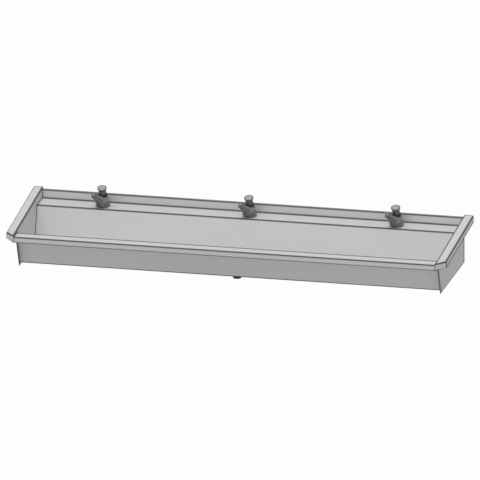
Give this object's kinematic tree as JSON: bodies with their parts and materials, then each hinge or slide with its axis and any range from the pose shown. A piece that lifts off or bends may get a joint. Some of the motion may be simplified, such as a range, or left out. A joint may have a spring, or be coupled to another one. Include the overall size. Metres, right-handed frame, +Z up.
{
  "type": "trough sink",
  "caption": "Wall-hung stainless wash trough with sloping end rails, a tap ledge, leaning push taps with swivel spouts and a grated waste.",
  "frame": {"origin": "on the wall plane, midway along the hanging rail's bolt line, level with the tap ledge", "axes": "+X along the trough, +Y into the wall, +Z up"},
  "size_m": [1.8, 0.54, 0.2767],
  "materials": {
    "stainless": "satin brushed",
    "zinc_steel": "zinc-coated",
    "polished_steel": "polished",
    "tap_metal": "dark satin chrome",
    "knob_metal": "satin chrome",
    "nozzle_steel": "fine turned",
    "black_plastic": "matt",
    "rubber": "matt",
    "brass": "turned",
    "spring_steel": "drawn wire"
  },
  "bodies": {
    "trough": {"trough_shell": "stainless", "end_panel_left": "stainless", "end_panel_right": "stainless", "hanging_rail": "zinc_steel", "stiffener_front": "zinc_steel", "stiffener_back": "zinc_steel", "waste_grate": "polished_steel", "grate_screw": "polished_steel", "grate_gasket": "rubber", "body_gasket": "rubber", "waste_body": "black_plastic", "tap_foot_left": "tap_metal", "foot_gasket_left": "rubber", "swivel_seals_left": "rubber", "collar_left": "black_plastic", "return_spring_left": "spring_steel", "valve_cartridge_left": "brass", "shank_washer_left": "rubber", "shank_nut_left": "brass", "tap_foot_centre": "tap_metal", "foot_gasket_centre": "rubber", "swivel_seals_centre": "rubber", "collar_centre": "black_plastic", "return_spring_centre": "spring_steel", "valve_cartridge_centre": "brass", "shank_washer_centre": "rubber", "shank_nut_centre": "brass", "tap_foot_right": "tap_metal", "foot_gasket_right": "rubber", "swivel_seals_right": "rubber", "collar_right": "black_plastic", "return_spring_right": "spring_steel", "valve_cartridge_right": "brass", "shank_washer_right": "rubber", "shank_nut_right": "brass"},
    "knob_left": {"push_knob_left": "knob_metal", "knob_stem_left": "brass"},
    "swivel_left": {"spout_left": "tap_metal", "spout_nozzle_left": "nozzle_steel"},
    "knob_centre": {"push_knob_centre": "knob_metal", "knob_stem_centre": "brass"},
    "swivel_centre": {"spout_centre": "tap_metal", "spout_nozzle_centre": "nozzle_steel"},
    "knob_right": {"push_knob_right": "knob_metal", "knob_stem_right": "brass"},
    "swivel_right": {"spout_right": "tap_metal", "spout_nozzle_right": "nozzle_steel"}
  },
  "joints": [
    {"name": "push_left", "type": "slide", "parent": "trough", "child": "knob_left", "axis": [0, 0.3256, -0.9455], "range_m": [0, 0.006], "stiffness_N_per_m": 900, "springref_m": -0.006, "deforming": ["return_spring_left"]},
    {"name": "turn_left", "type": "hinge", "parent": "trough", "child": "swivel_left", "pos_m": [-0.6, -0.062, 0], "axis": [0, -0.3256, 0.9455], "range_deg": [-15, 75]},
    {"name": "push_centre", "type": "slide", "parent": "trough", "child": "knob_centre", "axis": [0, 0.3256, -0.9455], "range_m": [0, 0.006], "stiffness_N_per_m": 900, "springref_m": -0.006, "deforming": ["return_spring_centre"]},
    {"name": "turn_centre", "type": "hinge", "parent": "trough", "child": "swivel_centre", "pos_m": [0, -0.062, 0], "axis": [0, -0.3256, 0.9455], "range_deg": [-15, 75]},
    {"name": "push_right", "type": "slide", "parent": "trough", "child": "knob_right", "axis": [0, 0.3256, -0.9455], "range_m": [0, 0.006], "stiffness_N_per_m": 900, "springref_m": -0.006, "deforming": ["return_spring_right"]},
    {"name": "turn_right", "type": "hinge", "parent": "trough", "child": "swivel_right", "pos_m": [0.6, -0.062, 0], "axis": [0, -0.3256, 0.9455], "range_deg": [-15, 75]}
  ]
}
